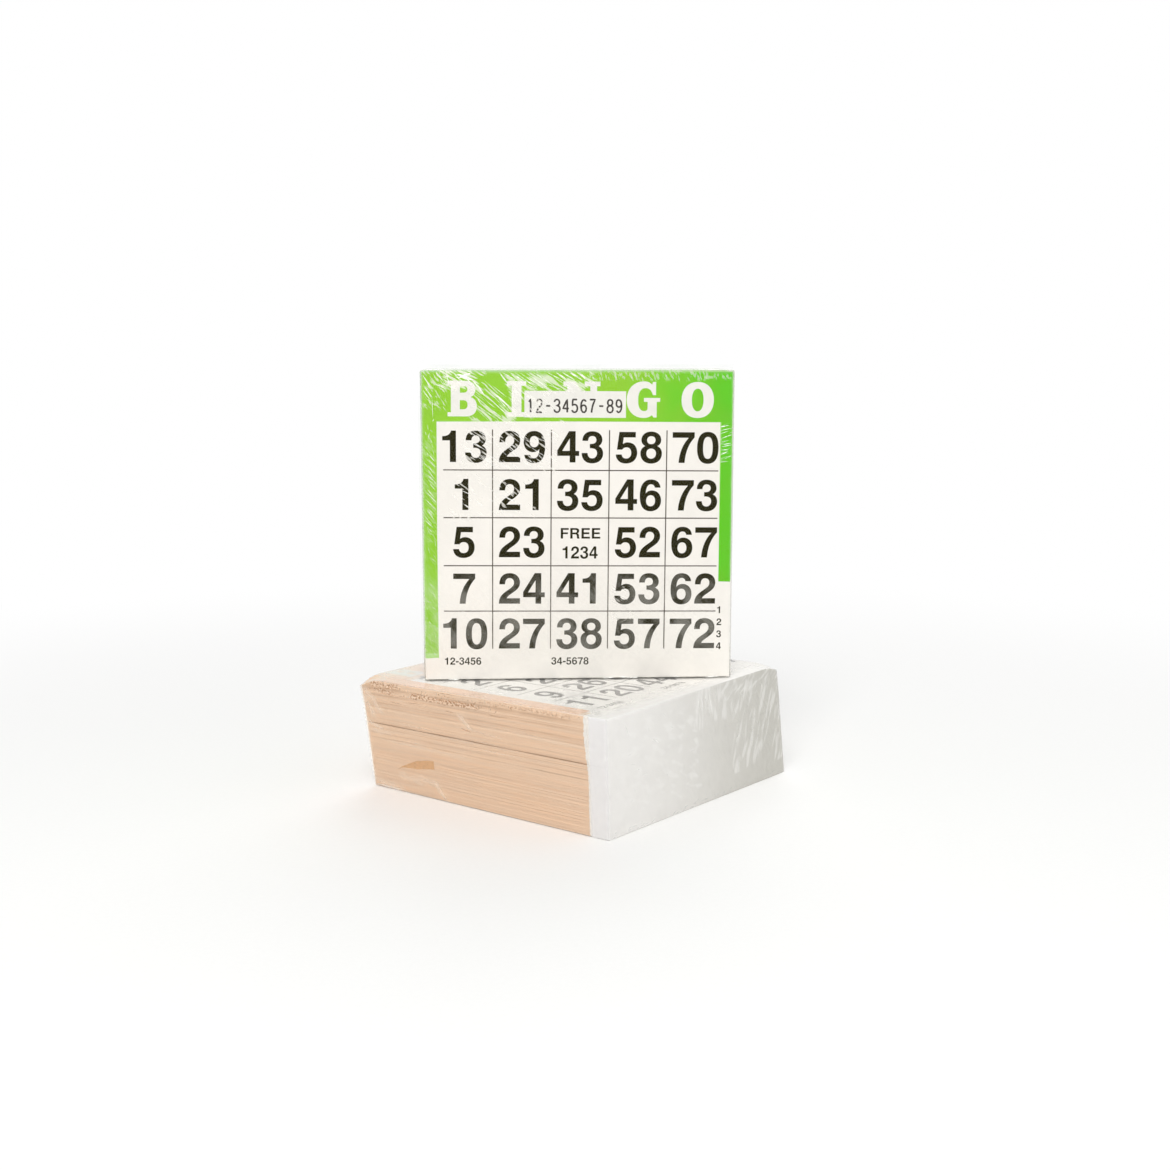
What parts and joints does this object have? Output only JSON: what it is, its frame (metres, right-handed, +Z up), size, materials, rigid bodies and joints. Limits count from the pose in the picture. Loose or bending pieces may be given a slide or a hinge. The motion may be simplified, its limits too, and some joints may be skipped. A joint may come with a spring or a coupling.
{
  "type": "wrapped bingo card packs",
  "caption": "Square paper bingo cards in film-wrapped packs: one pack lies flat and another stands on it on edge, showing its printed number grid.",
  "frame": {"origin": "middle of the face that the lower pack rests on", "axes": "+Z up, -Y the way the standing pack's printed face looks, +X to the right of that face"},
  "size_m": [0.1491, 0.1515, 0.1444],
  "materials": {
    "clear_film": "clear shrink film with creases",
    "orange_card_paper": "uncoated white paper with an orange printed border that shows at its cut edges",
    "green_card_paper": "uncoated white paper with a green printed border that shows at its cut edges"
  },
  "bodies": {
    "lower_pack": {"lower_film": "clear_film", "lower_face_card": "orange_card_paper", "lower_lift_1": "orange_card_paper", "lower_lift_2": "orange_card_paper", "lower_lift_3": "orange_card_paper", "lower_lift_4": "orange_card_paper", "lower_lift_5": "orange_card_paper", "lower_lift_6": "orange_card_paper", "lower_lift_7": "orange_card_paper", "lower_back_card": "orange_card_paper"},
    "upright_pack": {"upright_film": "clear_film", "upright_face_card": "green_card_paper", "upright_lift_1": "green_card_paper", "upright_lift_2": "green_card_paper", "upright_lift_3": "green_card_paper", "upright_lift_4": "green_card_paper", "upright_lift_5": "green_card_paper", "upright_lift_6": "green_card_paper", "upright_lift_7": "green_card_paper", "upright_back_card": "green_card_paper"}
  },
  "joints": [
    {"name": "upright_pack_lift", "type": "slide", "parent": "lower_pack", "child": "upright_pack", "axis": [0, 0, 1], "range_m": [0, 0.06]}
  ]
}
